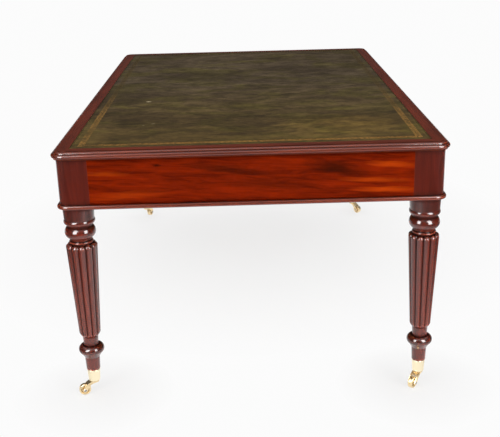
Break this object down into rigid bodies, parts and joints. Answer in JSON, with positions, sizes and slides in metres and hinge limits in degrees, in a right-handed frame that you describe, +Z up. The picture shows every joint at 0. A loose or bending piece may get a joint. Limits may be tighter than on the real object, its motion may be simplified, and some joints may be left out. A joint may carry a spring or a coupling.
{
  "type": "partners desk",
  "caption": "Mahogany partners' writing table with a moulded leather-lined top, drawers in both long sides, turned reeded legs and brass swivel casters",
  "frame": {"origin": "on the floor under the middle of the table", "axes": "X across the table, Y along it with the pictured end at -Y, Z up"},
  "size_m": [1.109, 1.676, 0.749],
  "materials": {
    "mahogany": "french polished",
    "flame_mahogany": "french polished flame veneer",
    "oak": "planed, unpolished",
    "pine": "planed, unpolished",
    "leather": "waxed, gilt tooled",
    "brass": "polished",
    "steel": "plain"
  },
  "bodies": {
    "frame": {"top_board": "pine", "leather_top": "leather", "top_edge_front": "mahogany", "top_edge_back": "mahogany", "top_edge_left": "mahogany", "top_edge_right": "mahogany", "bead_front": "mahogany", "bead_back": "mahogany", "bead_left": "mahogany", "bead_right": "mahogany", "end_rail_front": "flame_mahogany", "end_rail_back": "flame_mahogany", "centre_rail": "pine", "upper_rail_left": "mahogany", "upper_rail_right": "mahogany", "lower_rail_left": "mahogany", "lower_rail_right": "mahogany", "drawer_dividers": "mahogany", "drawer_runners": "pine", "drawer_kickers": "pine", "top_screws": "steel", "caster_screws": "brass", "leg_front_left": "mahogany", "leg_front_right": "mahogany", "leg_back_left": "mahogany", "leg_back_right": "mahogany", "caster_cup_front_left": "brass", "caster_cup_front_right": "brass", "caster_cup_back_left": "brass", "caster_cup_back_right": "brass"},
    "caster_fork_front_left": {"caster_fork_front_left": "brass", "caster_axle_front_left": "steel"},
    "caster_wheel_front_left": {"caster_wheel_front_left": "brass"},
    "caster_fork_front_right": {"caster_fork_front_right": "brass", "caster_axle_front_right": "steel"},
    "caster_wheel_front_right": {"caster_wheel_front_right": "brass"},
    "caster_fork_back_left": {"caster_fork_back_left": "brass", "caster_axle_back_left": "steel"},
    "caster_wheel_back_left": {"caster_wheel_back_left": "brass"},
    "caster_fork_back_right": {"caster_fork_back_right": "brass", "caster_axle_back_right": "steel"},
    "caster_wheel_back_right": {"caster_wheel_back_right": "brass"},
    "drawer_left_1": {"drawer_left_1_front": "mahogany", "drawer_left_1_box": "oak", "drawer_left_1_knobs": "mahogany"},
    "drawer_left_2": {"drawer_left_2_front": "mahogany", "drawer_left_2_box": "oak", "drawer_left_2_knobs": "mahogany"},
    "drawer_left_3": {"drawer_left_3_front": "mahogany", "drawer_left_3_box": "oak", "drawer_left_3_knobs": "mahogany"},
    "drawer_right_1": {"drawer_right_1_front": "mahogany", "drawer_right_1_box": "oak", "drawer_right_1_knobs": "mahogany"},
    "drawer_right_2": {"drawer_right_2_front": "mahogany", "drawer_right_2_box": "oak", "drawer_right_2_knobs": "mahogany"},
    "drawer_right_3": {"drawer_right_3_front": "mahogany", "drawer_right_3_box": "oak", "drawer_right_3_knobs": "mahogany"}
  },
  "joints": [
    {"name": "caster_swivel_front_left", "type": "hinge", "parent": "frame", "child": "caster_fork_front_left", "pos_m": [-0.4775, -0.782, 0.046], "axis": [0, 0, 1], "continuous": true},
    {"name": "caster_roll_front_left", "type": "hinge", "parent": "caster_fork_front_left", "child": "caster_wheel_front_left", "pos_m": [-0.50684, -0.78824, 0.017], "axis": [0.2079, -0.9781, 0], "continuous": true},
    {"name": "caster_swivel_front_right", "type": "hinge", "parent": "frame", "child": "caster_fork_front_right", "pos_m": [0.4775, -0.782, 0.046], "axis": [0, 0, 1], "continuous": true},
    {"name": "caster_roll_front_right", "type": "hinge", "parent": "caster_fork_front_right", "child": "caster_wheel_front_right", "pos_m": [0.45822, -0.80498, 0.017], "axis": [0.766, -0.6428, 0], "continuous": true},
    {"name": "caster_swivel_back_left", "type": "hinge", "parent": "frame", "child": "caster_fork_back_left", "pos_m": [-0.4775, 0.782, 0.046], "axis": [0, 0, 1], "continuous": true},
    {"name": "caster_roll_back_left", "type": "hinge", "parent": "caster_fork_back_left", "child": "caster_wheel_back_left", "pos_m": [-0.46626, 0.80982, 0.017], "axis": [-0.9272, 0.3746, 0], "continuous": true},
    {"name": "caster_swivel_back_right", "type": "hinge", "parent": "frame", "child": "caster_fork_back_right", "pos_m": [0.4775, 0.782, 0.046], "axis": [0, 0, 1], "continuous": true},
    {"name": "caster_roll_back_right", "type": "hinge", "parent": "caster_fork_back_right", "child": "caster_wheel_back_right", "pos_m": [0.49796, 0.76006, 0.017], "axis": [0.7314, 0.682, 0], "continuous": true},
    {"name": "drawer_left_1_slide", "type": "slide", "parent": "frame", "child": "drawer_left_1", "axis": [-1, 0, 0], "range_m": [0, 0.38]},
    {"name": "drawer_left_2_slide", "type": "slide", "parent": "frame", "child": "drawer_left_2", "axis": [-1, 0, 0], "range_m": [0, 0.38]},
    {"name": "drawer_left_3_slide", "type": "slide", "parent": "frame", "child": "drawer_left_3", "axis": [-1, 0, 0], "range_m": [0, 0.38]},
    {"name": "drawer_right_1_slide", "type": "slide", "parent": "frame", "child": "drawer_right_1", "axis": [1, 0, 0], "range_m": [0, 0.38]},
    {"name": "drawer_right_2_slide", "type": "slide", "parent": "frame", "child": "drawer_right_2", "axis": [1, 0, 0], "range_m": [0, 0.38]},
    {"name": "drawer_right_3_slide", "type": "slide", "parent": "frame", "child": "drawer_right_3", "axis": [1, 0, 0], "range_m": [0, 0.38]}
  ]
}
